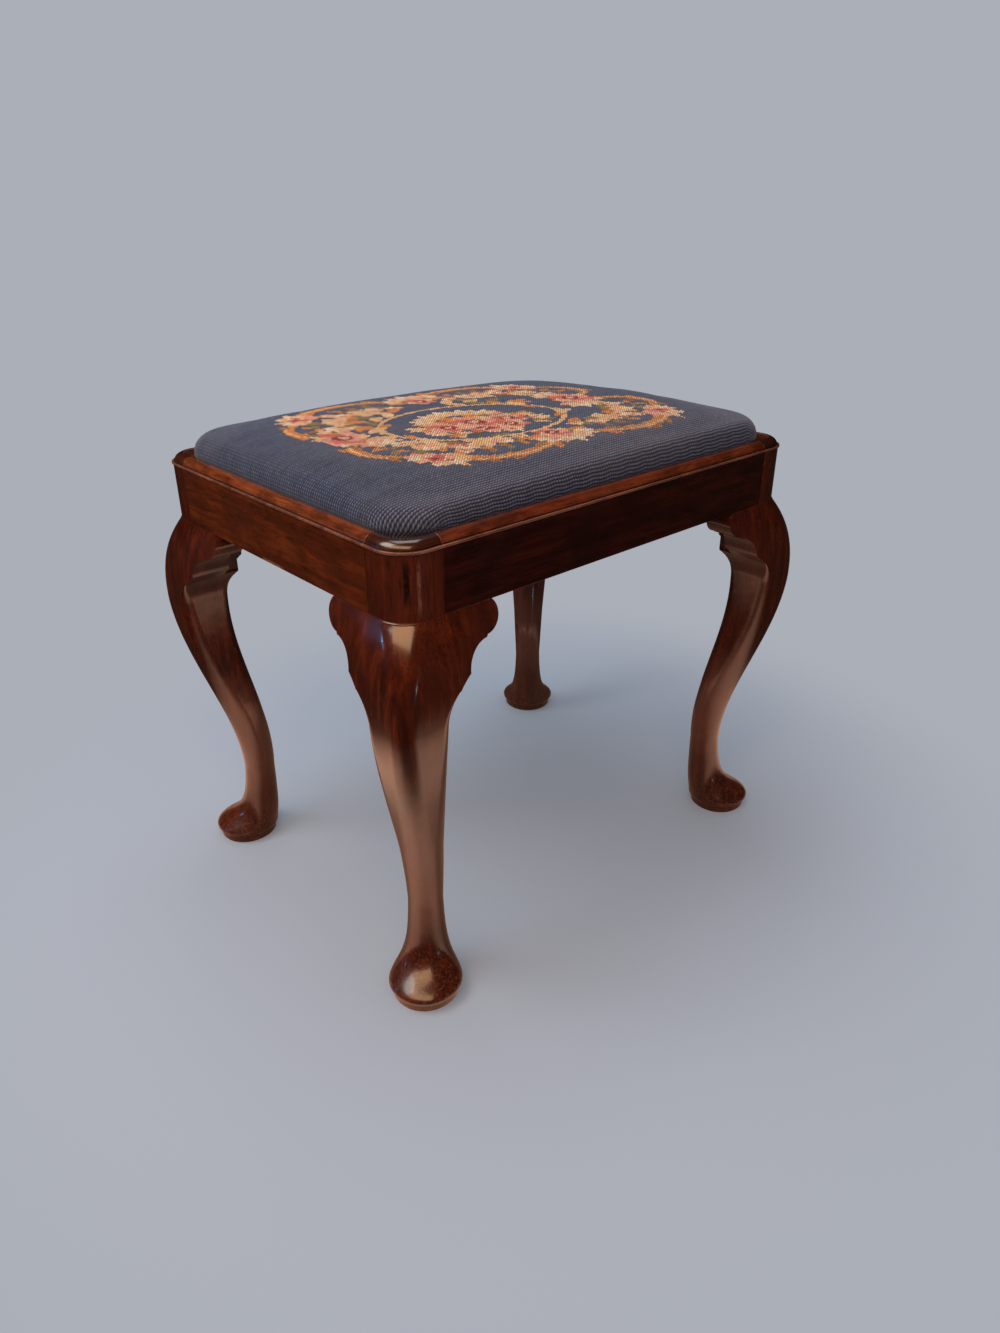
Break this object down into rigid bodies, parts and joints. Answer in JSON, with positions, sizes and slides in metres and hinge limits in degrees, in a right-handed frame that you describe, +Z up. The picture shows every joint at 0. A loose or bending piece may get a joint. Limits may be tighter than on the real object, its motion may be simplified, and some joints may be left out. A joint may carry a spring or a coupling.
{
  "type": "upholstered stool",
  "caption": "Low rectangular stool with cabriole legs, pad feet, shaped knee ears, a moulded rim and a loose drop-in seat under a needlework cover.",
  "frame": {"origin": "on the floor, under the middle of the frame", "axes": "+X along the width, +Y from the front rail to the back rail, +Z up"},
  "size_m": [0.534, 0.416, 0.477],
  "materials": {
    "mahogany": "polished",
    "rim_mahogany": "polished",
    "beech": "bare",
    "jute": "woven",
    "flax": "woven",
    "horsehair": "matted",
    "needlepoint": "stitched wool",
    "steel": "dull"
  },
  "bodies": {
    "frame": {"leg_front_left": "mahogany", "leg_front_right": "mahogany", "leg_back_left": "mahogany", "leg_back_right": "mahogany", "rail_front": "mahogany", "rail_back": "mahogany", "rail_left": "mahogany", "rail_right": "mahogany", "ear_front_left": "mahogany", "ear_front_right": "mahogany", "ear_back_left": "mahogany", "ear_back_right": "mahogany", "ear_left_front": "mahogany", "ear_right_front": "mahogany", "ear_left_back": "mahogany", "ear_right_back": "mahogany", "rim_front": "rim_mahogany", "rim_back": "rim_mahogany", "rim_left": "rim_mahogany", "rim_right": "rim_mahogany", "rim_corner_front_left_long": "rim_mahogany", "rim_corner_front_right_long": "rim_mahogany", "rim_corner_back_left_long": "rim_mahogany", "rim_corner_back_right_long": "rim_mahogany", "rim_corner_front_left_short": "rim_mahogany", "rim_corner_front_right_short": "rim_mahogany", "rim_corner_back_left_short": "rim_mahogany", "rim_corner_back_right_short": "rim_mahogany", "corner_block_front_left": "beech", "corner_block_front_right": "beech", "corner_block_back_left": "beech", "corner_block_back_right": "beech", "corner_block_screws": "steel"},
    "seat": {"seat_rail_front": "beech", "seat_rail_back": "beech", "seat_rail_left": "beech", "seat_rail_right": "beech", "webbing_long_1": "jute", "webbing_long_2": "jute", "webbing_long_3": "jute", "webbing_short_1": "jute", "webbing_short_2": "jute", "webbing_short_3": "jute", "webbing_short_4": "jute", "hessian": "flax", "stuffing": "horsehair", "cover": "needlepoint", "webbing_tacks": "steel", "cover_tacks": "steel"}
  },
  "joints": [
    {"name": "seat_lift", "type": "slide", "parent": "frame", "child": "seat", "axis": [0, 0, 1], "range_m": [0, 0.12]}
  ]
}
